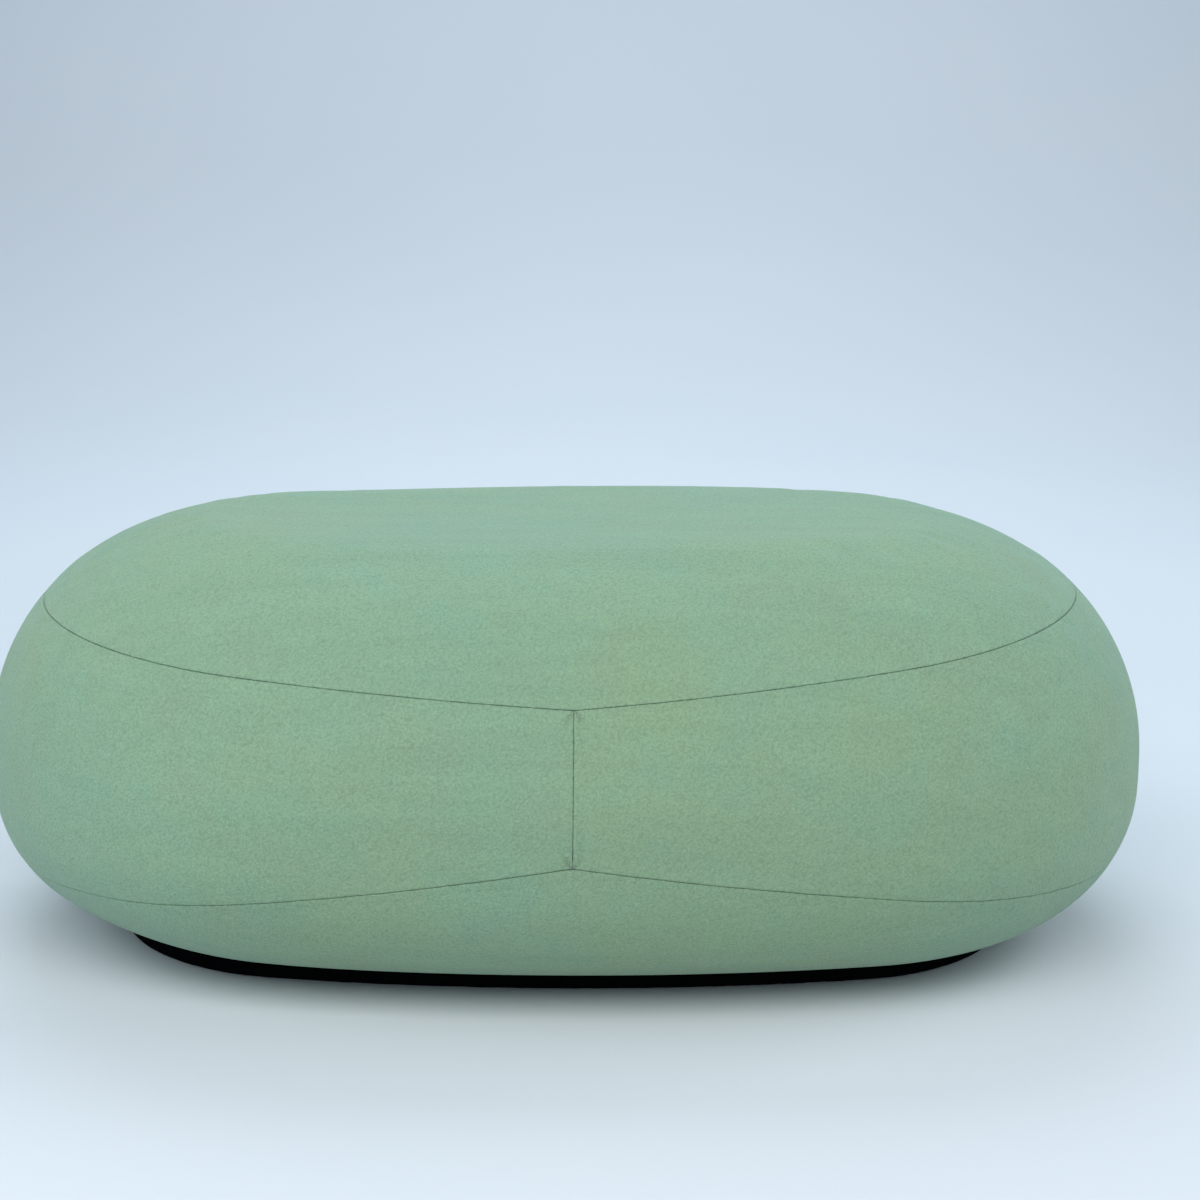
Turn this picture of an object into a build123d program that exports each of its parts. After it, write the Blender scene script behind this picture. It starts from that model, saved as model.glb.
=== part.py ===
"""Upholstered pebble pouf on a low wrapped plinth.

Frame: +X along the length, -Y to the front, +Z up. The origin is on the floor, under the middle.
Every layer follows one four-arc oval with rounded edges, so each is that shape a stated depth inside
the cover.
"""
import os
from math import asin, atan2, degrees, sqrt

from build123d import *

# Outside of the cover
LENGTH = 1100.0
WIDTH = 660.0
HEIGHT = 400.0
SIDE_RADIUS = 1650.0  # plan radius of the long sides; the ends are tighter arcs tangent to them
BOTTOM_ROUND = 137.0
SIDE_WALL = 29.0  # straight part of the side, between its lower and upper rounding

# Seams of the cover, at the middle of the front and at the two ends, and their slight bow
TOP_SEAM_MIDDLE_DROP = 108.0  # below the top
TOP_SEAM_END_DROP = 64.0
LOW_SEAM_MIDDLE = 158.0  # above the floor
LOW_SEAM_END = 84.0
SEAM_BOW = 2.4

# Soft layers, from the outside in
FABRIC = 1.2
COVER_HEM = 34.0  # how far the cover is turned in under the base board
WADDING = 12.0
SOFT_FOAM = 40.0
FIRM_FOAM = 70.0
LAYER_GAP = 0.3  # between two layers that follow the same curve

# Frame
CORE_INSET = 150.0  # from the outline of the cover in to the outside of the hardboard skin
SKIN = 3.0
BASE_BOARD = 15.0
RAIL_THICKNESS = 18.0
RAIL_WIDTH = 60.0
UPRIGHT = 30.0
WEB_THICKNESS = 1.5
WEB_WIDTH = 50.0
WEB_MARGIN = 12.0  # bare rail outside the end of a web
LONG_WEBS = 2
CROSS_WEBS = 6
WEB_STEP = 8.0  # length over which a long web comes down to its rail

# Plinth
PLINTH_OUTSET = 17.0  # beyond the flat part of the cover's underside
PLINTH_BOARD = 15.0
CLOTH = 1.0
CLOTH_TOP_HEM = 30.0
CLOTH_LOW_HEM = 40.0
GLIDE_RADIUS = 12.0
GLIDE_HEIGHT = 1.0
GLIDE_COUNT = 8
GLIDE_INSET = 20.0  # glide centre in from the plinth's edge

# Fasteners
SCREW_RADIUS = 2.0
HEAD_RADIUS = 4.0
HEAD_DEPTH = 2.2
SLOT_DEPTH = 1.2
SLOT_WIDTH = 0.9
SCREW_TIP = 4.0
SCREW_PLAY = 0.1
FRAME_SCREW = 45.0
FRAME_SCREW_PITCH = 16.0
PLINTH_SCREW = 28.0
PLINTH_SCREWS = 10
PLINTH_SCREW_INSET = 14.0  # in from the inner edge of the cover's hem
STAPLE_CROWN = 10.0
STAPLE_WIRE = 0.7
STAPLE_LEG = 8.0
STAPLE_COUNT = 44
STAPLE_INSET = 25.0  # in from the base board's edge

# Heights above the floor
BODY_BOTTOM = GLIDE_HEIGHT + CLOTH + PLINTH_BOARD + CLOTH
PLINTH_BOTTOM = GLIDE_HEIGHT + CLOTH
BOARD_BOTTOM = BODY_BOTTOM + FABRIC
BOARD_TOP = BOARD_BOTTOM + BASE_BOARD
WADDING_DEPTH = FABRIC + LAYER_GAP
FOAM_DEPTH = WADDING_DEPTH + WADDING + LAYER_GAP
SEAT_BOTTOM = HEIGHT - FOAM_DEPTH - SOFT_FOAM - FIRM_FOAM
FIRM_TOP = SEAT_BOTTOM + FIRM_FOAM
TOP_ROUND = HEIGHT - BODY_BOTTOM - BOTTOM_ROUND - SIDE_WALL
TOP_SEAM_MIDDLE = HEIGHT - TOP_SEAM_MIDDLE_DROP
TOP_SEAM_END = HEIGHT - TOP_SEAM_END_DROP
RAIL_TOP = SEAT_BOTTOM - 2 * WEB_THICKNESS
RAIL_BOTTOM = RAIL_TOP - RAIL_THICKNESS

# Plan: the arcs of the oval, and the insets of its inner outlines
END_RADIUS = (SIDE_RADIUS * WIDTH - WIDTH**2 / 4 - LENGTH**2 / 4) / (2 * SIDE_RADIUS - LENGTH)
END_CENTRE = LENGTH / 2 - END_RADIUS
SIDE_CENTRE = SIDE_RADIUS - WIDTH / 2
MEET_ANGLE = degrees(atan2(END_CENTRE, SIDE_CENTRE))
PLINTH_INSET = BOTTOM_ROUND - PLINTH_OUTSET
FRAME_INSET = CORE_INSET + SKIN + LAYER_GAP
OPENING_INSET = FRAME_INSET + RAIL_WIDTH
HEM_INSET = FRAME_INSET + COVER_HEM

os.makedirs("parts", exist_ok=True)


def save(node, label):
    node.label = label
    export_step(node, f"parts/{label}.step")


def half_width(x, inset):
    """Half the width of the oval at x, with the oval taken in by inset."""
    end_reach = END_RADIUS - inset
    side_reach = SIDE_RADIUS - inset
    if degrees(asin(abs(x) / side_reach)) < MEET_ANGLE:
        return sqrt(side_reach**2 - x**2) - SIDE_CENTRE
    return sqrt(end_reach**2 - (abs(x) - END_CENTRE) ** 2)


def half_length(y, inset):
    """Half the length of the oval at y, with the oval taken in by inset; y is on an end arc."""
    return END_CENTRE + sqrt((END_RADIUS - inset) ** 2 - y**2)


def oval(inset):
    """The plan outline, taken in by inset, as a face: two end arcs and two side arcs."""
    with BuildSketch() as plan:
        with BuildLine():
            for turn in (0, 180):
                side = 1 if turn == 0 else -1
                CenterArc(
                    (side * END_CENTRE, 0), END_RADIUS - inset, turn - 90 + MEET_ANGLE, 180 - 2 * MEET_ANGLE
                )
                CenterArc(
                    (0, -side * SIDE_CENTRE), SIDE_RADIUS - inset, turn + 90 - MEET_ANGLE, 2 * MEET_ANGLE
                )
        make_face()
    return plan.sketch


def oval_board(inset, bottom, top):
    """A straight-sided board of the oval's outline."""
    with BuildPart() as board:
        with BuildSketch(Plane.XY.offset(bottom)):
            add(oval(inset))
        extrude(amount=top - bottom)
    return board.part


def pebble(depth):
    """The whole body taken in by depth on every side, with its edges rounded above and below."""
    with BuildPart() as body:
        with BuildSketch(Plane.XY.offset(BODY_BOTTOM + depth)):
            add(oval(depth))
        extrude(amount=HEIGHT - BODY_BOTTOM - 2 * depth)
        fillet(body.edges().group_by(Axis.Z)[-1], radius=TOP_ROUND - depth)
        fillet(body.edges().group_by(Axis.Z)[0], radius=BOTTOM_ROUND - depth)
    return body.part


def around(inset, count, z):
    """Places spread evenly round the oval from its right-hand end, each turned along it."""
    rim = oval(inset).face().outer_wire()
    start = rim.param_at_point((LENGTH / 2 - inset, 0, 0))
    places = []
    for step in range(count):
        share = (start + (step + 0.5) / count) % 1
        spot = rim @ share
        way = rim % share
        places.append(Location((spot.X, spot.Y, z), (0, 0, degrees(atan2(way.Y, way.X)))))
    return places


def screw(length, play=0.0):
    """A countersunk wood screw, head at the origin and pointing up. With play it is the hole for one."""
    with BuildPart() as body:
        with BuildSketch(Plane.XZ):
            with BuildLine():
                Polyline(
                    (0, 0),
                    (HEAD_RADIUS + play, 0),
                    (SCREW_RADIUS + play, HEAD_DEPTH),
                    (SCREW_RADIUS + play, length - SCREW_TIP),
                    (0, length + play),
                    close=True,
                )
            make_face()
        revolve(axis=Axis.Z)
        if play == 0:
            with BuildSketch():
                Rectangle(HEAD_RADIUS, SLOT_WIDTH)
                Rectangle(SLOT_WIDTH, HEAD_RADIUS)
            extrude(amount=SLOT_DEPTH, mode=Mode.SUBTRACT)
    return body.part


def staple(play=0.0):
    """A staple with its crown below the origin and its two legs pointing up."""
    wire = STAPLE_WIRE + 2 * play
    with BuildPart() as body:
        with BuildSketch(Plane.XY.offset(-STAPLE_WIRE)):
            Rectangle(STAPLE_CROWN, wire)
        extrude(amount=STAPLE_WIRE)
        with BuildSketch():
            with GridLocations(STAPLE_CROWN - STAPLE_WIRE, 1, 2, 1):
                Rectangle(wire, wire)
        extrude(amount=STAPLE_LEG + play)
    return body.part


def upright_depth(radius):
    """Inset of an upright's middle, with its outer corners just clear of a skin of that plan radius."""
    reach = radius - FRAME_INSET
    return FRAME_INSET + reach - sqrt(reach**2 - UPRIGHT**2 / 4) + UPRIGHT / 2


# Where the uprights stand: under both ends of the front and back rails, at their middles, and at
# the two ends. Each entry is the middle of the upright and the direction that the skin runs there.
upright_places = []
for side in (-1, 1):
    for x in (-END_CENTRE, 0, END_CENTRE):
        reach = half_width(x, upright_depth(SIDE_RADIUS))
        turn = -side * degrees(atan2(x, reach + SIDE_CENTRE))
        upright_places.append(Location((x, side * reach, 0), (0, 0, turn)))
for side in (-1, 1):
    reach = LENGTH / 2 - upright_depth(END_RADIUS)
    upright_places.append(Location((side * reach, 0, 0), (0, 0, 90)))

with Locations(*upright_places):
    with GridLocations(FRAME_SCREW_PITCH, 1, 2, 1) as screw_grid:
        frame_screw_spots = [place.position for place in screw_grid.locations]
base_screw_places = [Location((spot.X, spot.Y, BOARD_BOTTOM)) for spot in frame_screw_spots]
rail_screw_places = [Location((spot.X, spot.Y, RAIL_TOP), (180, 0, 0)) for spot in frame_screw_spots]
plinth_screw_places = around(HEM_INSET + PLINTH_SCREW_INSET, PLINTH_SCREWS, PLINTH_BOTTOM)
staple_places = around(FRAME_INSET + STAPLE_INSET, STAPLE_COUNT, BODY_BOTTOM)


# Cover: one shell of cloth, open underneath inside its hem, cut into four panels along the seams.
with BuildPart() as cover_shell:
    add(pebble(0))
    add(pebble(FABRIC), mode=Mode.SUBTRACT)
    add(oval_board(HEM_INSET, 0, HEIGHT / 2), mode=Mode.SUBTRACT)
    with Locations(*staple_places):
        add(staple(SCREW_PLAY), mode=Mode.SUBTRACT)


def seam(side, middle, end):
    """One seam, from the middle of the front to the end on that side, as seen from the front."""
    ThreePointArc(
        (0, middle), (side * LENGTH / 4, (middle + end) / 2 - SEAM_BOW), (side * LENGTH / 2, end)
    )


with BuildPart() as cover_top_panel:
    add(cover_shell.part)
    with BuildSketch(Plane.XZ):
        with BuildLine():
            seam(-1, TOP_SEAM_MIDDLE, TOP_SEAM_END)
            seam(1, TOP_SEAM_MIDDLE, TOP_SEAM_END)
            Polyline(
                (LENGTH / 2, TOP_SEAM_END),
                (LENGTH / 2, HEIGHT),
                (-LENGTH / 2, HEIGHT),
                (-LENGTH / 2, TOP_SEAM_END),
            )
        make_face()
    extrude(amount=WIDTH, both=True, mode=Mode.INTERSECT)
save(cover_top_panel.part, "cover_top_panel")

with BuildPart() as cover_bottom_panel:
    add(cover_shell.part)
    with BuildSketch(Plane.XZ):
        with BuildLine():
            seam(-1, LOW_SEAM_MIDDLE, LOW_SEAM_END)
            seam(1, LOW_SEAM_MIDDLE, LOW_SEAM_END)
            Polyline(
                (LENGTH / 2, LOW_SEAM_END),
                (LENGTH / 2, 0),
                (-LENGTH / 2, 0),
                (-LENGTH / 2, LOW_SEAM_END),
            )
        make_face()
    extrude(amount=WIDTH, both=True, mode=Mode.INTERSECT)
save(cover_bottom_panel.part, "cover_bottom_panel")

for label, side in (("cover_left_panel", -1), ("cover_right_panel", 1)):
    with BuildPart() as end_panel:
        add(cover_shell.part)
        with BuildSketch(Plane.XZ):
            with BuildLine():
                seam(side, TOP_SEAM_MIDDLE, TOP_SEAM_END)
                seam(side, LOW_SEAM_MIDDLE, LOW_SEAM_END)
                Line((0, TOP_SEAM_MIDDLE), (0, LOW_SEAM_MIDDLE))
                Polyline(
                    (side * LENGTH / 2, TOP_SEAM_END),
                    (side * LENGTH, TOP_SEAM_END),
                    (side * LENGTH, LOW_SEAM_END),
                    (side * LENGTH / 2, LOW_SEAM_END),
                )
            make_face()
        extrude(amount=WIDTH, both=True, mode=Mode.INTERSECT)
    save(end_panel.part, label)


# Soft filling: wadding round everything, two layers of seat foam, and four blocks round the frame.
with BuildPart() as wadding:
    add(pebble(WADDING_DEPTH))
    add(pebble(WADDING_DEPTH + WADDING), mode=Mode.SUBTRACT)
    add(oval_board(CORE_INSET - LAYER_GAP, 0, HEIGHT / 2), mode=Mode.SUBTRACT)
save(wadding.part, "wadding")

for label, bottom, top in (
    ("seat_foam_soft", FIRM_TOP, HEIGHT),
    ("seat_foam_firm", SEAT_BOTTOM, FIRM_TOP),
):
    with BuildPart() as seat_foam:
        add(pebble(FOAM_DEPTH))
        with BuildSketch(Plane.XY.offset(bottom)):
            Rectangle(LENGTH, WIDTH)
        extrude(amount=top - bottom, mode=Mode.INTERSECT)
    save(seat_foam.part, label)

with BuildPart() as side_foam_ring:
    add(pebble(FOAM_DEPTH))
    with BuildSketch():
        Rectangle(LENGTH, WIDTH)
    extrude(amount=SEAT_BOTTOM, mode=Mode.INTERSECT)
    add(oval_board(CORE_INSET - LAYER_GAP, 0, HEIGHT), mode=Mode.SUBTRACT)

end_block = LENGTH / 2 - END_CENTRE
for label, x, y, block_length, block_width in (
    ("side_foam_front", 0, -WIDTH / 2, 2 * END_CENTRE, WIDTH),
    ("side_foam_back", 0, WIDTH / 2, 2 * END_CENTRE, WIDTH),
    ("side_foam_left", -END_CENTRE - end_block / 2, 0, end_block, WIDTH),
    ("side_foam_right", END_CENTRE + end_block / 2, 0, end_block, WIDTH),
):
    with BuildPart() as side_foam:
        add(side_foam_ring.part)
        with BuildSketch():
            with Locations((x, y)):
                Rectangle(block_length, block_width)
        extrude(amount=HEIGHT, mode=Mode.INTERSECT)
    save(side_foam.part, label)


# Frame: base board, uprights, four rails, and a hardboard skin bent round them in two halves.
with BuildPart() as base_board:
    add(oval_board(FRAME_INSET, BOARD_BOTTOM, BOARD_TOP))
    with Locations(*base_screw_places):
        add(screw(FRAME_SCREW, SCREW_PLAY), mode=Mode.SUBTRACT)
    with Locations(*plinth_screw_places):
        add(screw(PLINTH_SCREW, SCREW_PLAY), mode=Mode.SUBTRACT)
    with Locations(*staple_places):
        add(staple(SCREW_PLAY), mode=Mode.SUBTRACT)
save(base_board.part, "base_board")

for number, place in enumerate(upright_places, 1):
    with BuildPart() as upright:
        with BuildSketch(Plane.XY.offset(BOARD_TOP)):
            with Locations(place):
                Rectangle(UPRIGHT, UPRIGHT)
        extrude(amount=RAIL_BOTTOM - BOARD_TOP)
        with Locations(*base_screw_places):
            add(screw(FRAME_SCREW, SCREW_PLAY), mode=Mode.SUBTRACT)
        with Locations(*rail_screw_places):
            add(screw(FRAME_SCREW, SCREW_PLAY), mode=Mode.SUBTRACT)
    save(upright.part, f"upright_{number}")

with BuildPart() as rail_ring:
    add(oval_board(FRAME_INSET, RAIL_BOTTOM, RAIL_TOP))
    add(oval_board(OPENING_INSET, RAIL_BOTTOM, RAIL_TOP), mode=Mode.SUBTRACT)
    with Locations(*rail_screw_places):
        add(screw(FRAME_SCREW, SCREW_PLAY), mode=Mode.SUBTRACT)

for label, x, y, block_length, block_width in (
    ("rail_front", 0, -WIDTH / 2, 2 * END_CENTRE, WIDTH),
    ("rail_back", 0, WIDTH / 2, 2 * END_CENTRE, WIDTH),
    ("rail_left", -END_CENTRE - end_block / 2, 0, end_block, WIDTH),
    ("rail_right", END_CENTRE + end_block / 2, 0, end_block, WIDTH),
):
    with BuildPart() as rail:
        add(rail_ring.part)
        with BuildSketch():
            with Locations((x, y)):
                Rectangle(block_length, block_width)
        extrude(amount=HEIGHT, mode=Mode.INTERSECT)
    save(rail.part, label)

for label, side in (("skin_left", -1), ("skin_right", 1)):
    with BuildPart() as skin:
        add(oval_board(CORE_INSET, BOARD_BOTTOM, RAIL_TOP))
        add(oval_board(CORE_INSET + SKIN, BOARD_BOTTOM, RAIL_TOP), mode=Mode.SUBTRACT)
        with BuildSketch():
            with Locations((side * LENGTH / 4, 0)):
                Rectangle(LENGTH / 2, WIDTH)
        extrude(amount=HEIGHT, mode=Mode.INTERSECT)
    save(skin.part, label)


# Webbing: cross webs flat on the rails, long webs over them and down to the end rails.
cross_pitch = (LENGTH - 2 * OPENING_INSET) / CROSS_WEBS
long_pitch = (WIDTH - 2 * OPENING_INSET) / LONG_WEBS
last_cross_edge = (CROSS_WEBS - 1) / 2 * cross_pitch + WEB_WIDTH / 2
for number in range(CROSS_WEBS):
    x = (number - (CROSS_WEBS - 1) / 2) * cross_pitch
    reach = half_width(abs(x) + WEB_WIDTH / 2, FRAME_INSET) - WEB_MARGIN
    with BuildPart() as cross_web:
        with BuildSketch(Plane.XY.offset(RAIL_TOP)):
            with Locations((x, 0)):
                Rectangle(WEB_WIDTH, 2 * reach)
        extrude(amount=WEB_THICKNESS)
    save(cross_web.part, f"web_cross_{number + 1}")

for number in range(LONG_WEBS):
    y = (number - (LONG_WEBS - 1) / 2) * long_pitch
    reach = half_length(abs(y) + WEB_WIDTH / 2, FRAME_INSET) - WEB_MARGIN
    step_top = last_cross_edge + WEB_STEP / 2
    step_foot = step_top + WEB_STEP
    low = RAIL_TOP
    high = RAIL_TOP + WEB_THICKNESS
    with BuildPart() as long_web:
        with BuildSketch(Plane.XZ.offset(-y)):
            with BuildLine():
                for rise in (0, WEB_THICKNESS):
                    Polyline(
                        (-reach, low + rise),
                        (-step_foot, low + rise),
                        (-step_top, high + rise),
                        (step_top, high + rise),
                        (step_foot, low + rise),
                        (reach, low + rise),
                    )
                for x in (-reach, reach):
                    Line((x, low), (x, high))
            make_face()
        extrude(amount=WEB_WIDTH / 2, both=True)
    save(long_web.part, f"web_long_{number + 1}")


# Plinth: a board with black cloth over its edge, hemmed above and below, on glides.
with BuildPart() as plinth_board:
    add(oval_board(PLINTH_INSET + CLOTH + LAYER_GAP, PLINTH_BOTTOM, PLINTH_BOTTOM + PLINTH_BOARD))
    with Locations(*plinth_screw_places):
        add(screw(PLINTH_SCREW, SCREW_PLAY), mode=Mode.SUBTRACT)
save(plinth_board.part, "plinth_board")

with BuildPart() as plinth_cloth:
    add(oval_board(PLINTH_INSET, GLIDE_HEIGHT, BODY_BOTTOM))
    add(oval_board(PLINTH_INSET + CLOTH, PLINTH_BOTTOM, PLINTH_BOTTOM + PLINTH_BOARD), mode=Mode.SUBTRACT)
    add(oval_board(PLINTH_INSET + CLOTH_LOW_HEM, 0, PLINTH_BOTTOM), mode=Mode.SUBTRACT)
    add(oval_board(PLINTH_INSET + CLOTH_TOP_HEM, PLINTH_BOTTOM, HEIGHT), mode=Mode.SUBTRACT)
save(plinth_cloth.part, "plinth_cloth")

with BuildPart() as glides:
    with BuildSketch():
        with Locations(*around(PLINTH_INSET + GLIDE_INSET, GLIDE_COUNT, 0)):
            Circle(GLIDE_RADIUS)
    extrude(amount=GLIDE_HEIGHT)
    chamfer(glides.edges().group_by(Axis.Z)[0], length=GLIDE_HEIGHT / 4)
save(glides.part, "glides")


# Fasteners, one node for each kind and place
for label, solid, places in (
    ("base_screws", screw(FRAME_SCREW), base_screw_places),
    ("rail_screws", screw(FRAME_SCREW), rail_screw_places),
    ("plinth_screws", screw(PLINTH_SCREW), plinth_screw_places),
    ("cover_staples", staple(), staple_places),
):
    with BuildPart() as fasteners:
        with Locations(*places):
            add(solid)
    save(fasteners.part, label)
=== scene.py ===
import math
import random

import bpy
import numpy as np
from mathutils import Matrix, Vector


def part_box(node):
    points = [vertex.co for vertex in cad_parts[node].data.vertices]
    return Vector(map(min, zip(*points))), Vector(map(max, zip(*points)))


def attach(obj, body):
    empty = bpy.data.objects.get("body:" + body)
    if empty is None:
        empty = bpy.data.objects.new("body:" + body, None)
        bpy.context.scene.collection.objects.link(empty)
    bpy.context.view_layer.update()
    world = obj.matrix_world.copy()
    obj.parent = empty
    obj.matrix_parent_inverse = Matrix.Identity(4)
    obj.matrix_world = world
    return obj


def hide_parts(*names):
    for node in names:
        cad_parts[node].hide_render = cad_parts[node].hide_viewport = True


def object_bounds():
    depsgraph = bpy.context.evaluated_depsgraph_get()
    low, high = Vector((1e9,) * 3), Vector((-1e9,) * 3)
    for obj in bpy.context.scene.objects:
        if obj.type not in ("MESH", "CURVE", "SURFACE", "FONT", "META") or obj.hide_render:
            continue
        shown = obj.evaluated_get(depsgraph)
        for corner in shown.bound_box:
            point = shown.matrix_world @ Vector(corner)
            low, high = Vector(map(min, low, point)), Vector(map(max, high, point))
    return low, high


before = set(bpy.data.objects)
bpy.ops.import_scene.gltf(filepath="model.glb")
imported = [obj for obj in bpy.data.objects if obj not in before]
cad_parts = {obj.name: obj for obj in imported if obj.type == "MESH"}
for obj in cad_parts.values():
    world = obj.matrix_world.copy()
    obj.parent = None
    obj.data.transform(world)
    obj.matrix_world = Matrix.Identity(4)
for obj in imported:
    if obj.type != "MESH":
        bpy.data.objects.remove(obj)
cad_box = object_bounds()


# ---------------------------------------------------------------- base board
# The floor of the frame: one oval of 15 mm birch plywood with an opening cut in the middle.
# Everything else in the frame stands on it or is screwed to it. Its edges show the plies.
def new_finish(name, even):
    """A finish whose even values, such as its roughness, are set on its own shader."""
    finish = bpy.data.materials.new(name)
    finish.use_nodes = True
    for socket, value in even.items():
        finish.node_tree.nodes["Principled BSDF"].inputs[socket].default_value = value
    return finish


def add(finish, kind, inputs, output=0, **settings):
    """Adds a shader node and gives one of its outputs. An input is a value or another output."""
    made = finish.node_tree.nodes.new("ShaderNode" + kind)
    for name, value in settings.items():
        setattr(made, name, value)
    for name, value in inputs.items():
        if isinstance(value, bpy.types.NodeSocket):
            finish.node_tree.links.new(value, made.inputs[name])
        else:
            made.inputs[name].default_value = value
    return made.outputs[output]


def place_on(finish, stretch=(1, 1, 1), turn=(0, 0, 0)):
    """The place on the piece, drawn out or turned for a pattern that runs one way."""
    place = add(finish, "TexCoord", {}, output="Object")
    return add(finish, "Mapping", {"Vector": place, "Scale": stretch, "Rotation": turn})


def grain(finish, place, size, detail=4.0, roughness=0.55, distortion=0.0):
    """Soft random grain whose largest marks are about that size."""
    return add(finish, "TexNoise", {
        "Vector": place, "Scale": 1 / size, "Detail": detail,
        "Roughness": roughness, "Distortion": distortion,
    })


def shades(finish, share, *stops):
    """A colour picked by share from stops of (position, colour)."""
    colour = add(finish, "ValToRGB", {"Fac": share})
    ramp = colour.node.color_ramp
    while len(ramp.elements) < len(stops):
        ramp.elements.new(0.5)
    for element, (position, shade) in zip(ramp.elements, stops):
        element.position = position
        element.color = (*shade, 1)
    return colour


def tinted(finish, colour, shade, share=1.0):
    """The colour, multiplied by a shade."""
    made = finish.node_tree.nodes.new("ShaderNodeMix")
    made.data_type = "RGBA"
    made.blend_type = "MULTIPLY"
    made.inputs[0].default_value = share
    finish.node_tree.links.new(colour, made.inputs[6])
    finish.node_tree.links.new(shade, made.inputs[7])
    return made.outputs[2]


def raised(finish, height, depth, over=None, strength=1.0):
    """A bump of that depth, over another bump."""
    inputs = {"Height": height, "Distance": depth, "Strength": strength}
    if over is not None:
        inputs["Normal"] = over
    return add(finish, "Bump", inputs)


def to_shader(finish, **sockets):
    """Joins outputs to the shader: base_color, roughness or normal."""
    shader = finish.node_tree.nodes["Principled BSDF"]
    for name, output in sockets.items():
        finish.node_tree.links.new(output, shader.inputs[name.replace("_", " ").title()])


def give(finish, *names):
    """Gives CAD pieces that keep their shape their real finish."""
    for name in names:
        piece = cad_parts[name]
        piece.data.materials.clear()
        piece.data.materials.append(finish)


PLY = 0.0015
WAVES_PER_METRE = math.pi / 10
plywood = new_finish("birch_plywood", {"Roughness": 0.62, "Specular IOR Level": 0.35})
fibres = grain(plywood, place_on(plywood, (1, 14, 14)), 0.10, 5, 0.6, 0.4)
figure = grain(plywood, place_on(plywood, (1, 5, 5)), 0.35, 3, 0.5, 1.2)
plies = add(plywood, "TexWave", {
    "Vector": place_on(plywood), "Scale": WAVES_PER_METRE / (2 * PLY), "Distortion": 0.15, "Detail": 1.0,
}, output=1, bands_direction="Z")
birch = shades(plywood, fibres, (0.3, (0.52, 0.36, 0.20)), (0.7, (0.70, 0.53, 0.33)))
birch = tinted(plywood, birch, shades(plywood, figure, (0.35, (0.86, 0.82, 0.78)), (0.65, (1, 1, 1))))
birch = tinted(plywood, birch, shades(plywood, plies, (0.3, (0.66, 0.58, 0.50)), (0.6, (1, 1, 1))))
to_shader(plywood, base_color=birch, normal=raised(plywood, fibres, 0.0003))
give(plywood, "base_board")


# ---------------------------------------------------------------- uprights and rails
# Eight posts of planed softwood stand on the base board and carry an oval ring of four bowed rails,
# glued and screwed. The grain runs along each piece.
def softwood(name, along):
    """Planed softwood with its grain along that axis."""
    finish = new_finish(name, {"Roughness": 0.66, "Specular IOR Level": 0.3})
    stretch = [9.0, 9.0, 9.0]
    stretch[along] = 0.7
    rings = grain(finish, place_on(finish, stretch), 0.16, 2, 0.5, 1.4)
    pores = grain(finish, place_on(finish, [part * 5 for part in stretch]), 0.12, 4, 0.7)
    wood = shades(finish, rings, (0.30, (0.66, 0.45, 0.24)), (0.50, (0.72, 0.52, 0.30)),
                  (0.58, (0.48, 0.28, 0.13)), (0.66, (0.70, 0.50, 0.28)))
    wood = tinted(finish, wood, shades(finish, pores, (0.3, (0.84, 0.80, 0.76)), (0.6, (1, 1, 1))))
    to_shader(finish, base_color=wood, normal=raised(finish, pores, 0.0002))
    return finish


give(softwood("softwood_posts", 2), *(f"upright_{count}" for count in range(1, 9)))
give(softwood("softwood_long_rails", 0), "rail_front", "rail_back")
give(softwood("softwood_end_rails", 1), "rail_left", "rail_right")


# ---------------------------------------------------------------- skins
# Sheets of 3 mm brown hardboard bent round the posts at each end and glued, so that the foam has a
# firm wall to lie on. One face is smooth, with the pressed fibres just showing.
hardboard = new_finish("brown_hardboard", {"Roughness": 0.55, "Specular IOR Level": 0.4})
pressed = grain(hardboard, place_on(hardboard), 0.006, 5, 0.75)
cloudy = grain(hardboard, place_on(hardboard), 0.09, 3, 0.6)
board = shades(hardboard, pressed, (0.32, (0.150, 0.078, 0.038)), (0.68, (0.270, 0.150, 0.078)))
board = tinted(hardboard, board, shades(hardboard, cloudy, (0.3, (0.85, 0.84, 0.82)), (0.7, (1, 1, 1))))
to_shader(hardboard, base_color=board, normal=raised(hardboard, pressed, 0.00015))
give(hardboard, "skin_left", "skin_right")


# ---------------------------------------------------------------- webbing
# Elastic upholstery webbing, 50 mm wide, stretched over the rails under the seat foam and stapled.
# Two long webs run from end to end and six cross them. The weave is a close black and beige rib.
RIB_WIDTH = 0.0022
CORD_WIDTH = 0.0060


def webbing(name, across):
    """Woven elastic webbing whose cords lie side by side along that axis."""
    finish = new_finish(name, {"Roughness": 0.85, "Specular IOR Level": 0.2, "Sheen Weight": 0.15})
    ribs = add(finish, "TexWave", {
        "Vector": place_on(finish), "Scale": WAVES_PER_METRE / RIB_WIDTH, "Distortion": 0.3, "Detail": 2.0,
        "Detail Scale": 2.0,
    }, output=1, bands_direction="XY"[1 - across])
    cords = add(finish, "TexWave", {
        "Vector": place_on(finish), "Scale": WAVES_PER_METRE / CORD_WIDTH, "Distortion": 0.2, "Detail": 1.0,
    }, output=1, bands_direction="XY"[across])
    yarn = shades(finish, cords, (0.30, (0.045, 0.042, 0.038)), (0.62, (0.420, 0.350, 0.240)))
    yarn = tinted(finish, yarn, shades(finish, ribs, (0.1, (0.55, 0.55, 0.55)), (0.7, (1, 1, 1))))
    to_shader(finish, base_color=yarn, normal=raised(finish, ribs, 0.0005))
    return finish


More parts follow.
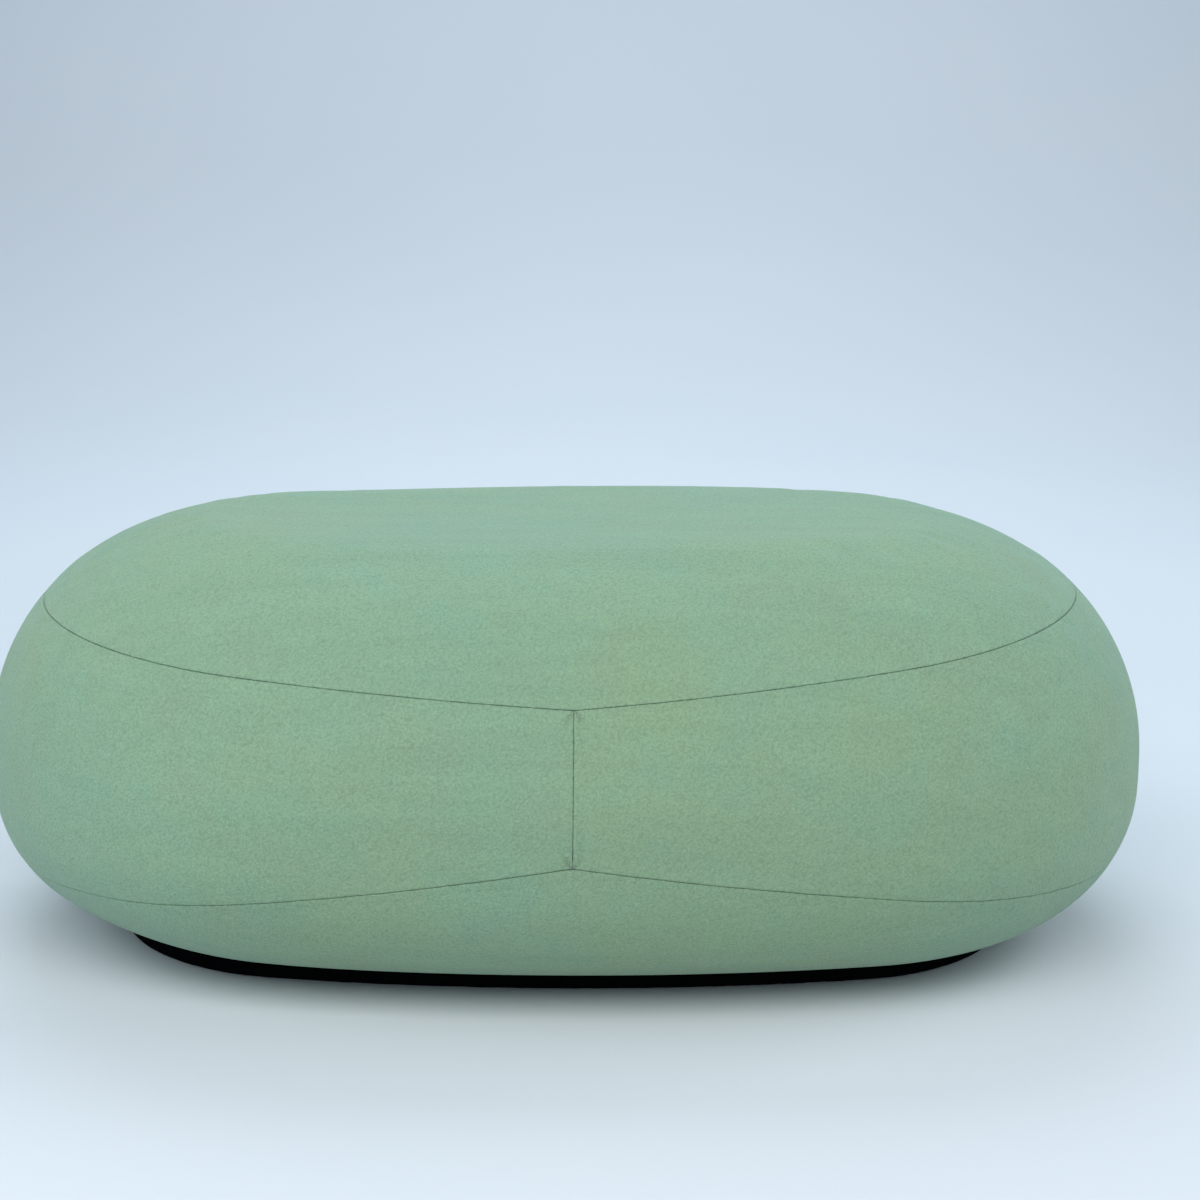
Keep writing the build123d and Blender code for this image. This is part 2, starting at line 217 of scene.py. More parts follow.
give(webbing("webbing_long", 1), "web_long_1", "web_long_2")
give(webbing("webbing_cross", 0), *(f"web_cross_{count}" for count in range(1, 7)))


# ---------------------------------------------------------------- seat foam and side foam
# Polyurethane foam, cut by hand and glued: a firm block on the webs, a softer one over it, and four
# shaped pieces round the sides. The cut faces are open-celled and their edges are never quite sharp.
SEAT_GRID = 0.006
SIDE_GRID = 0.007
CUT_WANDER = 0.0016
CUT_SPREAD = 0.09


def foam_colour(name, pale, deep):
    """Open-celled foam between two colours."""
    finish = new_finish(name, {"Roughness": 0.95, "Specular IOR Level": 0.1, "Subsurface Weight": 0.12,
                               "Subsurface Radius": (0.01, 0.01, 0.008)})
    cells = add(finish, "TexVoronoi", {"Vector": place_on(finish), "Scale": 620.0, "Randomness": 1.0})
    patches = grain(finish, place_on(finish), 0.07, 4, 0.6)
    foam = shades(finish, patches, (0.35, deep), (0.65, pale))
    foam = tinted(finish, foam, shades(finish, cells, (0.05, (0.62, 0.62, 0.62)), (0.5, (1, 1, 1))))
    to_shader(finish, base_color=foam, normal=raised(finish, cells, 0.0008))
    return finish


def pick(*pieces):
    """Selects those pieces and no others, with the first one active."""
    bpy.ops.object.select_all(action="DESELECT")
    for piece in pieces:
        piece.select_set(True)
    bpy.context.view_layer.objects.active = pieces[0]


def run_on(piece, operator, **settings):
    """Runs an edit-mode operator on the whole of one piece."""
    pick(piece)
    bpy.ops.object.mode_set(mode="EDIT")
    bpy.ops.mesh.select_all(action="SELECT")
    operator(**settings)
    bpy.ops.object.mode_set(mode="OBJECT")


def finish_with(piece, kind, **settings):
    """Adds a modifier with those settings and applies it."""
    pick(piece)
    modifier = piece.modifiers.new(kind.lower(), kind)
    for name, value in settings.items():
        setattr(modifier, name, value)
    bpy.ops.object.modifier_apply(modifier=modifier.name)


def roughen(piece, name, spread, strength, mid_level):
    """Moves the surface in and out by soft random hills of about that spread."""
    hills = bpy.data.textures.new(name, "CLOUDS")
    hills.noise_scale = spread
    finish_with(piece, "DISPLACE", texture=hills, texture_coords="LOCAL", strength=strength,
                mid_level=mid_level)


def shade_smooth(piece):
    for face in piece.data.polygons:
        face.use_smooth = True


def hand_cut(name, node, grid, finish):
    """The foam block that stands for a CAD node: its edges eased, its faces faintly uneven."""
    block = bpy.data.objects.new(name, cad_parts[node].data.copy())
    block.data.materials.clear()
    bpy.context.scene.collection.objects.link(block)
    run_on(block, bpy.ops.mesh.remove_doubles, threshold=0.00002)
    finish_with(block, "REMESH", mode="VOXEL", voxel_size=grid)
    finish_with(block, "SMOOTH", factor=0.5, iterations=4)
    roughen(block, name + "_cut", CUT_SPREAD, CUT_WANDER, 0.9)
    run_on(block, bpy.ops.mesh.normals_make_consistent)
    shade_smooth(block)
    block.data.materials.append(finish)
    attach(block, "root")
    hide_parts(node)


firm_foam = foam_colour("firm_foam", (0.62, 0.50, 0.22), (0.54, 0.42, 0.17))
soft_foam = foam_colour("soft_foam", (0.74, 0.72, 0.66), (0.66, 0.64, 0.57))
edge_foam = foam_colour("side_foam", (0.46, 0.56, 0.62), (0.38, 0.48, 0.55))
hand_cut("seat_foam_firm_block", "seat_foam_firm", SEAT_GRID, firm_foam)
hand_cut("seat_foam_soft_block", "seat_foam_soft", SEAT_GRID, soft_foam)
for side in ("front", "back", "left", "right"):
    hand_cut(f"side_foam_{side}_block", f"side_foam_{side}", SIDE_GRID, edge_foam)


# ---------------------------------------------------------------- wadding
# A fleece of white polyester fibre, about 12 mm thick, laid over the foam and sprayed in place. It
# rounds off the foam's edges and is fuller in some places than in others, which the cover shows.
LENGTH = cad_box[1][0] - cad_box[0][0]
WIDTH = cad_box[1][1] - cad_box[0][1]
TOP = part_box("cover_top_panel")[1][2]
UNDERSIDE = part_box("cover_bottom_panel")[0][2]
SIDE_RADIUS = 1.650
BOTTOM_ROUND = 0.137
SIDE_WALL = 0.029
TOP_ROUND = TOP - UNDERSIDE - SIDE_WALL - BOTTOM_ROUND
END_RADIUS = (SIDE_RADIUS * WIDTH - WIDTH**2 / 4 - LENGTH**2 / 4) / (2 * SIDE_RADIUS - LENGTH)
END_CENTRE = LENGTH / 2 - END_RADIUS
SIDE_CENTRE = SIDE_RADIUS - WIDTH / 2
MEET_ANGLE = math.atan2(END_CENTRE, SIDE_CENTRE)
WADDING = 0.0115
UNDER_COVER = 0.0021

# A run is a length of cloth, measured down the rounded edge from the rim of the flat top
WALL_START = TOP_ROUND * math.pi / 2
WALL_END = WALL_START + SIDE_WALL
UNDER_START = WALL_END + BOTTOM_ROUND * math.pi / 2

# Where the filling is fuller or thinner: a place, how far it spreads, and how far it lifts
SWELLS = (
    ((0.16, 0.02, 0.400), 0.17, 0.0040),
    ((-0.21, 0.04, 0.400), 0.15, -0.0035),
    ((-0.36, -0.02, 0.395), 0.09, 0.0012),
    ((0.40, 0.00, 0.380), 0.12, -0.0030),
    ((0.53, -0.05, 0.150), 0.12, 0.0042),
    ((-0.52, -0.06, 0.250), 0.13, 0.0022),
    ((-0.28, -0.33, 0.200), 0.16, 0.0020),
    ((0.22, -0.33, 0.180), 0.15, -0.0015),
    ((0.05, 0.31, 0.210), 0.18, 0.0028),
    ((-0.34, 0.27, 0.150), 0.12, -0.0018),
    ((0.36, 0.26, 0.240), 0.14, 0.0022),
)
SWELL_FROM_FLOOR = 0.05

# How much taller the right end is, and where the underside is drawn up at the left end
RIGHT_END_RISE = 0.0136
LEFT_FOOT = (-0.43, -0.17, 0.035)
LEFT_FOOT_REACH = (0.12, 0.17, 0.06)
LEFT_FOOT_LIFT = 0.008
LEFT_FOOT_FROM_FLOOR = 0.006


def plan_point(heading, inset):
    """The point of the oval plan, taken in by inset, whose outer side faces that heading."""
    across, along = math.cos(heading), math.sin(heading)
    if abs(across) > math.sin(MEET_ANGLE):
        reach = END_RADIUS - inset
        return math.copysign(END_CENTRE, across) + reach * across, reach * along
    reach = SIDE_RADIUS - inset
    return reach * across, reach * along - math.copysign(SIDE_CENTRE, along)


def edge_section(run, depth=0.0):
    """Inset and height, at that run, of the surface that lies depth inside the cover."""
    if run < WALL_START:
        tilt, reach = run / TOP_ROUND, TOP_ROUND - depth
        return TOP_ROUND - reach * math.sin(tilt), TOP - TOP_ROUND + reach * math.cos(tilt)
    if run < WALL_END:
        return depth, TOP - TOP_ROUND - (run - WALL_START)
    if run < UNDER_START:
        tilt, reach = (run - WALL_END) / BOTTOM_ROUND, BOTTOM_ROUND - depth
        return BOTTOM_ROUND - reach * math.cos(tilt), UNDERSIDE + BOTTOM_ROUND - reach * math.sin(tilt)
    return BOTTOM_ROUND + run - UNDER_START, UNDERSIDE + depth


def places_of(piece):
    """The piece's points as rows of x, y and z."""
    places = np.empty(len(piece.data.vertices) * 3)
    piece.data.vertices.foreach_get("co", places)
    return places.reshape(-1, 3)


def put_places(piece, places):
    """Moves the piece's points."""
    piece.data.vertices.foreach_set("co", np.ascontiguousarray(places).ravel())
    piece.data.update()


def new_grid(name, columns, rows):
    """A flat grid with that many columns and rows of points, to be laid over a shape."""
    bpy.ops.object.select_all(action="DESELECT")
    bpy.ops.mesh.primitive_grid_add(x_subdivisions=columns - 1, y_subdivisions=rows - 1, size=1)
    grid = bpy.context.object
    grid.name = grid.data.name = name
    return grid


def laid_round(name, headings, runs_at, depth=0.0):
    """A grid laid round the body: a column for each heading, and rows from the lowest run up."""
    grid = new_grid(name, len(headings), len(runs_at(headings[0])))
    places = []
    for heading in headings:
        column = [edge_section(run, depth) for run in reversed(runs_at(heading))]
        places.append([(*plan_point(heading, inset), height) for inset, height in column])
    put_places(grid, np.array(places).transpose(1, 0, 2))
    return grid


def laid_flat(name, rim, corner, height):
    """A grid that fills the flat top inside its rim, drawn in from four sides of it."""
    half = len(rim) // 2
    front = np.array([rim[step] for step in range(-corner, corner + 1)])
    back = np.array([rim[half - step] for step in range(-corner, corner + 1)])
    right = np.array([rim[step] for step in range(corner, half - corner + 1)])
    left = np.array([rim[-step] for step in range(corner, half - corner + 1)])
    grid = new_grid(name, len(front), len(right))
    u = np.linspace(0, 1, len(front))[None, :, None]
    v = np.linspace(0, 1, len(right))[:, None, None]
    front_corners = (1 - u) * front[0] + u * front[-1]
    back_corners = (1 - u) * back[0] + u * back[-1]
    places = (1 - v) * front + v * back + (1 - u) * left[:, None] + u * right[:, None]
    places = places - (1 - v) * front_corners - v * back_corners
    put_places(grid, np.concatenate([places, np.full((*places.shape[:2], 1), height)], axis=2))
    return grid


def made_one(*parts, threshold=0.0001):
    """Joins parts, and merges the points that they share."""
    pick(*parts)
    if len(parts) > 1:
        bpy.ops.object.join()
    run_on(parts[0], bpy.ops.mesh.remove_doubles, threshold=threshold)
    return parts[0]


def hand_fill(piece):
    """Moves the drawn shape to where the hand-packed filling brings it."""
    places = places_of(piece)
    outward = (places - (0, 0, TOP / 2)) / (LENGTH, WIDTH, TOP)
    outward /= np.linalg.norm(outward, axis=1)[:, None]
    free = np.clip((places[:, 2] - UNDERSIDE) / SWELL_FROM_FLOOR, 0, 1)
    lift = np.zeros(len(places))
    for place, reach, rise in SWELLS:
        away = np.linalg.norm(places - place, axis=1)
        lift += rise * np.exp(-((away / reach) ** 2))
    places += outward * (lift * free)[:, None]
    places[:, 2] *= 1 + RIGHT_END_RISE * free * np.clip(places[:, 0] / (LENGTH / 2), 0, 1) ** 1.5
    from_foot = np.linalg.norm((places - LEFT_FOOT) / LEFT_FOOT_REACH, axis=1)
    loose = np.clip((places[:, 2] - UNDERSIDE) / LEFT_FOOT_FROM_FLOOR, 0, 1)
    places[:, 2] += LEFT_FOOT_LIFT * np.exp(-(from_foot**2)) * loose
    put_places(piece, places)


def headings_round(side_steps, end_steps):
    """Headings right round the plan, from the middle of the front by the right end."""
    end_angle = math.pi / 2 - MEET_ANGLE
    quarter = [MEET_ANGLE * step / side_steps for step in range(side_steps)]
    quarter += [MEET_ANGLE + end_angle * step / end_steps for step in range(end_steps + 1)]
    half = quarter + [math.pi - turn for turn in reversed(quarter[:-1])]
    return [turn - math.pi / 2 for turn in half + [math.pi + turn for turn in half[1:]]]


FLEECE_ROWS = 40
FLEECE_CORNER = 27


def even_runs(heading):
    return [UNDER_START * step / FLEECE_ROWS for step in range(FLEECE_ROWS + 1)]


fleece_turns = headings_round(side_steps=16, end_steps=22)
fleece_rim = [plan_point(heading, TOP_ROUND) for heading in fleece_turns[:-1]]
wadding = made_one(
    laid_round("wadding_fleece", fleece_turns, even_runs, UNDER_COVER),
    laid_flat("wadding_top", fleece_rim, FLEECE_CORNER, TOP - UNDER_COVER),
)
hand_fill(wadding)
finish_with(wadding, "SOLIDIFY", thickness=WADDING, offset=-1)
roughen(wadding, "wadding_loft", 0.05, 0.0012, 1.0)
shade_smooth(wadding)
polyester = new_finish("polyester_fleece", {
    "Roughness": 0.9, "Sheen Weight": 0.4, "Sheen Roughness": 0.6,
    "Subsurface Weight": 0.2, "Subsurface Radius": (0.01, 0.01, 0.01),
})
strands = grain(polyester, place_on(polyester, (1, 1, 4)), 0.004, 6, 0.8, 2.5)
clumps = grain(polyester, place_on(polyester), 0.035, 4, 0.6)
fleece = shades(polyester, strands, (0.3, (0.66, 0.67, 0.68)), (0.7, (0.86, 0.87, 0.88)))
fleece = tinted(polyester, fleece, shades(polyester, clumps, (0.3, (0.92, 0.92, 0.93)), (0.7, (1, 1, 1))))
loft = raised(polyester, clumps, 0.002)
to_shader(polyester, base_color=fleece, normal=raised(polyester, strands, 0.0012, loft))
wadding.data.materials.append(polyester)
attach(wadding, "root")
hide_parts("wadding")


# ---------------------------------------------------------------- cover
# Four panels of close-napped green upholstery cloth with plain sewn seams: an oval top, a left and a
# right side that meet at the middle of the front and back, and a band that is pulled under and stapled.
CLOTH = 0.0012
HEM_INSET = 0.1873
HEM_END = UNDER_START + HEM_INSET - BOTTOM_ROUND
SEAM_GAP = 0.0001
SEAM_ROLL = 0.0008
SEAM_PULL = 0.0006
SEAM_PULL_REACH = 0.009

# The cloth is pressed out by the filling, but held at its seams and where it is stapled
PRESSURE = 4
PRESS_STEPS = 20
HELD_BESIDE_SEAM = 0.0004
HELD_AT_HEM = 0.004
SWELL_LIMIT = 0.0022
SWELL_FROM_HEM = 0.04

# Heights of the two seams that run round: at the middle of the front, the left end and the right end
TOP_SEAM = (0.2931, 0.3283, 0.3434)
LOW_SEAM = (0.1586, 0.0776, 0.0875)
SEAM_BOW = 0.002

# How many steps the grids of the panels have, down the edge and along the sides and ends
TOP_ROWS, SIDE_ROWS, BAND_ROWS, HEM_ROWS = 28, 33, 26, 6
SIDE_STEPS, END_STEPS, PANEL_STEPS = 30, 32, 34
TOP_CORNER = 44
FAR_FROM_SEAM = 0.2


def seam_run(seam, heading):
    """The run at which that seam crosses the edge at that heading."""
    middle, left_end, right_end = seam
    above, below = 0.0, UNDER_START
    for _ in range(30):
        run = (above + below) / 2
        inset, height = edge_section(run)
        x = plan_point(heading, inset)[0]
        share = abs(x) / (LENGTH / 2)
        drop = (left_end if x < 0 else right_end) - middle
        if height > middle + drop * share - 4 * SEAM_BOW * share * (1 - share):
            above = run
        else:
            below = run
    return run


def girth(heading):
    """Length round the body from the middle of the front or the back to that heading."""
    turned = abs(math.asin(max(-1.0, min(1.0, math.cos(heading)))))
    return min(turned, MEET_ANGLE) * SIDE_RADIUS + max(0.0, turned - MEET_ANGLE) * END_RADIUS


def closer_at_seams(first, last, steps, first_sewn, last_sewn):
    """Places from first to last, evenly apart but closer beside an end that is sewn."""
    beside = (0.0, 0.0006, 0.0015, 0.0032, 0.0065, 0.0120)
    head = [first + step for step in beside] if first_sewn else [first]
    tail = [last - step for step in reversed(beside)] if last_sewn else [last]
    inner = steps - len(head) - len(tail) + 2
    return head + [head[-1] + (tail[0] - head[-1]) * step / inner for step in range(1, inner)] + tail


def top_runs(heading):
    last = seam_run(TOP_SEAM, heading) - SEAM_GAP
    return closer_at_seams(0.0, last, TOP_ROWS, first_sewn=False, last_sewn=True)


def side_runs(heading):
    first, last = seam_run(TOP_SEAM, heading) + SEAM_GAP, seam_run(LOW_SEAM, heading) - SEAM_GAP
    return closer_at_seams(first, last, SIDE_ROWS, first_sewn=True, last_sewn=True)


def band_runs(heading):
    first = seam_run(LOW_SEAM, heading) + SEAM_GAP
    round_edge = closer_at_seams(first, UNDER_START, BAND_ROWS, first_sewn=True, last_sewn=False)
    hem = [UNDER_START + (HEM_END - UNDER_START) * step / HEM_ROWS for step in range(1, HEM_ROWS + 1)]
    return round_edge + hem


def note_seams(panel, headings, runs_at, sewn_up, sewn_down, sewn_ends):
    """Notes at each point how far the nearest seam is, and its place along that seam."""
    near, along = [], []
    for heading in headings:
        x, y = plan_point(heading, 0.0)
        runs = runs_at(heading)
        for run in reversed(runs):
            up = run - runs[0] if sewn_up else 1.0
            down = runs[-1] - run if sewn_down else 1.0
            end = girth(heading) if sewn_ends else 1.0
            near.append(min(up, down, end))
            along.append((0.0, y, run) if end < min(up, down) else (x, y, 0.0))
    rows = len(runs_at(headings[0]))
    near = np.array(near).reshape(-1, rows).T.ravel()
    along = np.array(along).reshape(-1, rows, 3).transpose(1, 0, 2).ravel()
    panel.data.attributes.new("from_seam", "FLOAT", "POINT").data.foreach_set("value", near)
    panel.data.attributes.new("seam_place", "FLOAT_VECTOR", "POINT").data.foreach_set("vector", along)


round_turns = headings_round(SIDE_STEPS, END_STEPS)
end_turns = [turn + math.pi / 2 for turn in round_turns[SIDE_STEPS + 1:SIDE_STEPS + END_STEPS + 1]]
side_lengths = closer_at_seams(SEAM_GAP, MEET_ANGLE * SIDE_RADIUS, PANEL_STEPS,
                               first_sewn=True, last_sewn=False)
quarter_turns = [length / SIDE_RADIUS for length in side_lengths] + end_turns
half_turns = quarter_turns + [math.pi - turn for turn in reversed(quarter_turns[:-1])]
right_turns = [turn - math.pi / 2 for turn in half_turns]
left_turns = [turn + math.pi / 2 for turn in half_turns]

top_edge = laid_round("cover_top", round_turns, top_runs)
note_seams(top_edge, round_turns, top_runs, sewn_up=False, sewn_down=True, sewn_ends=False)
top_rim = [plan_point(heading, TOP_ROUND) for heading in round_turns[:-1]]
top_flat = laid_flat("cover_flat", top_rim, TOP_CORNER, TOP)
note = top_flat.data.attributes.new("from_seam", "FLOAT", "POINT")
note.data.foreach_set("value", np.full(len(top_flat.data.vertices), FAR_FROM_SEAM))
left_side = laid_round("cover_left", left_turns, side_runs)
note_seams(left_side, left_turns, side_runs, sewn_up=True, sewn_down=True, sewn_ends=True)
right_side = laid_round("cover_right", right_turns, side_runs)
note_seams(right_side, right_turns, side_runs, sewn_up=True, sewn_down=True, sewn_ends=True)
band = laid_round("cover_band", round_turns, band_runs)
note_seams(band, round_turns, band_runs, sewn_up=True, sewn_down=False, sewn_ends=False)
cover = {
    "cover_top_panel": made_one(top_edge, top_flat),
    "cover_left_panel": left_side,
    "cover_right_panel": right_side,
    "cover_bottom_panel": made_one(band),
}


def noted(panel, name, kind="value", width=1):
    """Reads back what was noted at each point."""
    found = np.empty(len(panel.data.vertices) * width)
    panel.data.attributes[name].data.foreach_get(kind, found)
    return found.reshape(-1, width) if width > 1 else found


def filled_out(panels):
    """Lets the filling press each sewn panel outwards while its seams hold it, all in one go."""
    before = {}
    for panel in panels:
        before[panel.name] = places_of(panel)
        sewn = noted(panel, "from_seam") < HELD_BESIDE_SEAM
        held = sewn | (before[panel.name][:, 2] < UNDERSIDE + HELD_AT_HEM)
        seams = panel.vertex_groups.new(name="seams")
        seams.add([int(point) for point in np.flatnonzero(held)], 1.0, "REPLACE")
        cloth = panel.modifiers.new("pressed_out", "CLOTH")
        cloth.settings.quality = 4
        cloth.settings.use_pressure = True
        cloth.settings.uniform_pressure_force = PRESSURE
        cloth.settings.vertex_group_mass = "seams"
        cloth.settings.effector_weights.gravity = 0
        cloth.point_cache.frame_start, cloth.point_cache.frame_end = 1, PRESS_STEPS
    for step in range(1, PRESS_STEPS + 1):
        bpy.context.scene.frame_set(step)
    for panel in panels:
        pick(panel)
        bpy.ops.object.modifier_apply(modifier="pressed_out")
        start = before[panel.name]
        moved = places_of(panel) - start
        size = np.maximum(np.linalg.norm(moved, axis=1), 1e-9)[:, None]
        free = np.clip((start[:, 2] - UNDERSIDE) / SWELL_FROM_HEM, 0, 1)[:, None]
        put_places(panel, start + moved / size * SWELL_LIMIT * np.tanh(size / SWELL_LIMIT) * free)
    bpy.context.scene.frame_set(1)


# Waves of looser and tighter stitches along a seam, each with its direction and start, and their share
STITCH_WAVES = (((151.0, 163.0, 157.0), 0.4), ((337.0, 309.0, 323.0), 1.9), ((67.0, 59.0, 71.0), 2.7))
STITCH_SHARE = 0.22


def rolled_in(panel):
    """Turns the cloth in at its seams, and draws it down a little beside them, tighter at some stitches."""
    near = noted(panel, "from_seam")
    spot = noted(panel, "seam_place", "vector", 3)
    normals = np.empty(len(panel.data.vertices) * 3)
    panel.data.vertices.foreach_get("normal", normals)
    tug = sum(np.sin(spot @ np.array(way) + shift) for way, shift in STITCH_WAVES)
    turn = SEAM_ROLL - np.sqrt(SEAM_ROLL**2 - np.clip(SEAM_ROLL - near, 0, SEAM_ROLL) ** 2)
    draw = SEAM_PULL * np.exp(-near / SEAM_PULL_REACH) * (1 + STITCH_SHARE * tug)
    put_places(panel, places_of(panel) - normals.reshape(-1, 3) * (turn + draw)[:, None])


for panel in cover.values():
    hand_fill(panel)
filled_out(list(cover.values()))

green_cloth = new_finish("green_napped_cloth", {
    "Roughness": 0.86, "Specular IOR Level": 0.22, "Sheen Weight": 0.22, "Sheen Roughness": 0.45,
    "Sheen Tint": (0.80, 0.95, 1.0, 1),
})
PEBBLES_PER_METRE = 470.0
PEBBLE_STRAY = 0.004
spots = place_on(green_cloth)
dye = grain(green_cloth, spots, 0.34, 3, 0.55, 0.6)
mottle = grain(green_cloth, spots, 0.055, 4, 0.6)
brushed = grain(green_cloth, place_on(green_cloth, (1, 9, 9)), 0.22, 4, 0.6, 0.5)
nap = grain(green_cloth, spots, 0.0026, 3, 0.7, 0.8)
strewn = grain(green_cloth, spots, 0.006, 2, 0.5)
stray_by = add(green_cloth, "VectorMath", {0: strewn, 1: [PEBBLE_STRAY] * 3}, operation="MULTIPLY")
stray_spots = add(green_cloth, "VectorMath", {0: spots, 1: stray_by}, operation="ADD")
pebbles = add(green_cloth, "TexVoronoi", {
    "Vector": stray_spots, "Scale": PEBBLES_PER_METRE, "Randomness": 1.0,
})
green = shades(green_cloth, dye, (0.38, (0.284, 0.440, 0.297)), (0.62, (0.298, 0.436, 0.276)))
for share, *stops in (
    (mottle, (0.36, (0.955, 0.985, 1.0)), (0.50, (1.0, 0.99, 0.97)), (0.64, (1.0, 0.965, 0.955))),
    (brushed, (0.38, (0.950, 0.955, 0.955)), (0.60, (1, 1, 1))),
    (nap, (0.36, (0.88, 0.89, 0.88)), (0.64, (1, 1, 1))),
    (pebbles, (0.20, (1, 1, 1)), (0.85, (0.81, 0.82, 0.81))),
):
    green = tinted(green_cloth, green, shades(green_cloth, share, *stops))

# Close to a seam the cloth colour is painted darker, more at some stitches than others: painted shade in the
# sewn groove. The stitches also pucker the cloth
from_seam = add(green_cloth, "Attribute", {}, output="Fac", attribute_name="from_seam")
seam_place = add(green_cloth, "Attribute", {}, output="Vector", attribute_name="seam_place")
stitches = grain(green_cloth, seam_place, 0.007, 3, 0.6)
seam_shade_fade = add(green_cloth, "MapRange", {"Value": from_seam, "From Min": 0.0001, "From Max": 0.0015})
beside = add(green_cloth, "MapRange", {"Value": from_seam, "From Min": 0.001, "From Max": 0.011,
                                       "To Min": 1.0, "To Max": 0.0}, interpolation_type="SMOOTHSTEP")
puckers = add(green_cloth, "Math", {0: stitches, 1: beside}, operation="MULTIPLY")
# Painted shade: the groove at each seam is darkened in the colour, unevenly along the stitches
painted_seam_shade = shades(green_cloth, stitches, (0.38, (0.71, 0.77, 0.73)), (0.60, (1.0, 1.0, 1.0)))
seam_shade = add(green_cloth, "Mix", {0: seam_shade_fade, 6: painted_seam_shade, 7: (1, 1, 1, 1)}, output=2, data_type="RGBA")
green = tinted(green_cloth, green, seam_shade)
tufts = raised(green_cloth, pebbles, 0.0010, strength=0.55)
felted = raised(green_cloth, nap, 0.0012, tufts, strength=0.6)
to_shader(green_cloth, base_color=green, normal=raised(green_cloth, puckers, 0.0022, felted, strength=0.7))

# Each panel is smoothed once, turned in at its seams, given the cloth's thickness and finish, and put in
# place of its CAD node
for node, panel in cover.items():
    finish_with(panel, "SUBSURF", levels=1, render_levels=1, boundary_smooth="PRESERVE_CORNERS")
    rolled_in(panel)
    finish_with(panel, "SOLIDIFY", thickness=CLOTH, offset=-1)
    shade_smooth(panel)
    panel.data.materials.append(green_cloth)
    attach(panel, "root")
    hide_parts(node)


# ---------------------------------------------------------------- plinth
# A smaller oval of 15 mm plywood under the base board, wrapped in black non-woven cloth that is
# turned in above and below. It holds the body clear of the floor and shows as a dark band.
PLINTH_CLOTH = 0.001
plinth_low, plinth_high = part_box("plinth_cloth")
PLINTH_INSET = LENGTH / 2 - plinth_high[0]
low, high = plinth_low[2] + PLINTH_CLOTH / 2, plinth_high[2] - PLINTH_CLOTH / 2
# The wrap's own section, from its upper hem round the board's edge to its lower hem
PLINTH_WRAP = [(PLINTH_INSET + inset, height) for inset, height in (
    (0.0300, high), (0.0230, high), (0.0150, high), (0.0080, high), (0.0035, high - 0.0001),
    (0.0017, high - 0.0006), (0.0008, high - 0.0016), (0.0005, high - 0.0032), (0.0005, (low + high) / 2),
    (0.0005, low + 0.0032), (0.0008, low + 0.0016), (0.0017, low + 0.0006), (0.0035, low + 0.0001),
    (0.0080, low), (0.0180, low), (0.0290, low), (0.0400, low),
)]
plinth_turns = headings_round(side_steps=40, end_steps=44)
skirt = new_grid("plinth_wrap", len(plinth_turns), len(PLINTH_WRAP))
put_places(skirt, np.array([[(*plan_point(turn, inset), height) for turn in plinth_turns]
                            for inset, height in reversed(PLINTH_WRAP)]))
made_one(skirt)
roughen(skirt, "plinth_creases", 0.02, 0.0006, 0.5)
finish_with(skirt, "SOLIDIFY", thickness=PLINTH_CLOTH, offset=0)
shade_smooth(skirt)
black_cloth = new_finish("black_nonwoven", {"Roughness": 0.95, "Specular IOR Level": 0.02})
fibre = grain(black_cloth, place_on(black_cloth), 0.0025, 6, 0.8, 1.5)
bonds = add(black_cloth, "TexVoronoi", {"Vector": place_on(black_cloth), "Scale": 700.0})
dark = shades(black_cloth, fibre, (0.3, (0.0008, 0.0008, 0.0011)), (0.75, (0.0030, 0.0032, 0.0040)))
felt = raised(black_cloth, bonds, 0.0002)
to_shader(black_cloth, base_color=dark, normal=raised(black_cloth, fibre, 0.0004, felt))
skirt.data.materials.append(black_cloth)

# Fibres pulled out of the wrap's upper edge, mostly toward the left of the front. A spread is the
# angle from the middle of the front toward the left: the nearest, the farthest and the commonest.
FIBRES = 150
FIBRE_RADIUS = 0.00016
FIBRE_LENGTHS = (0.003, 0.009)
FIBRE_SPREAD = (-0.25, 1.25, 0.45)
FIBRE_RISE = (-0.1, 0.7)
FIBRE_SLANT = (-1.2, 1.2)
FIBRE_ROOTS = 0.003
pulled = random.Random(11)
bpy.ops.object.select_all(action="DESELECT")
bpy.ops.mesh.primitive_cone_add(vertices=5, radius1=FIBRE_RADIUS, radius2=FIBRE_RADIUS / 4, depth=1,
                                location=(0, 0, 0.5))
fibre_shape = bpy.context.object
bpy.ops.object.transform_apply(location=True)
fibres = []
for count in range(FIBRES):
    turn = -math.pi / 2 - pulled.triangular(*FIBRE_SPREAD)
    x, y = plan_point(turn, PLINTH_INSET)
    lean = Vector((math.cos(turn), math.sin(turn), pulled.uniform(*FIBRE_RISE)))
    lean += Vector((-math.sin(turn), math.cos(turn), 0)) * pulled.uniform(*FIBRE_SLANT)
    stray = fibre_shape.copy()
    stray.data = fibre_shape.data.copy()
    bpy.context.scene.collection.objects.link(stray)
    length = pulled.uniform(*FIBRE_LENGTHS)
    stray.data.transform(
        Matrix.Translation((x, y, high - pulled.uniform(0, FIBRE_ROOTS)))
        @ lean.to_track_quat("Z", "Y").to_matrix().to_4x4() @ Matrix.Diagonal((1, 1, length, 1)))
    fibres.append(stray)
bpy.data.objects.remove(fibre_shape)
fuzz = made_one(*fibres, threshold=0.000001)
fuzz.name = fuzz.data.name = "plinth_fibres"
fuzz.data.materials.append(black_cloth)
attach(fuzz, "root")
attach(skirt, "root")
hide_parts("plinth_cloth")
give(plywood, "plinth_board")


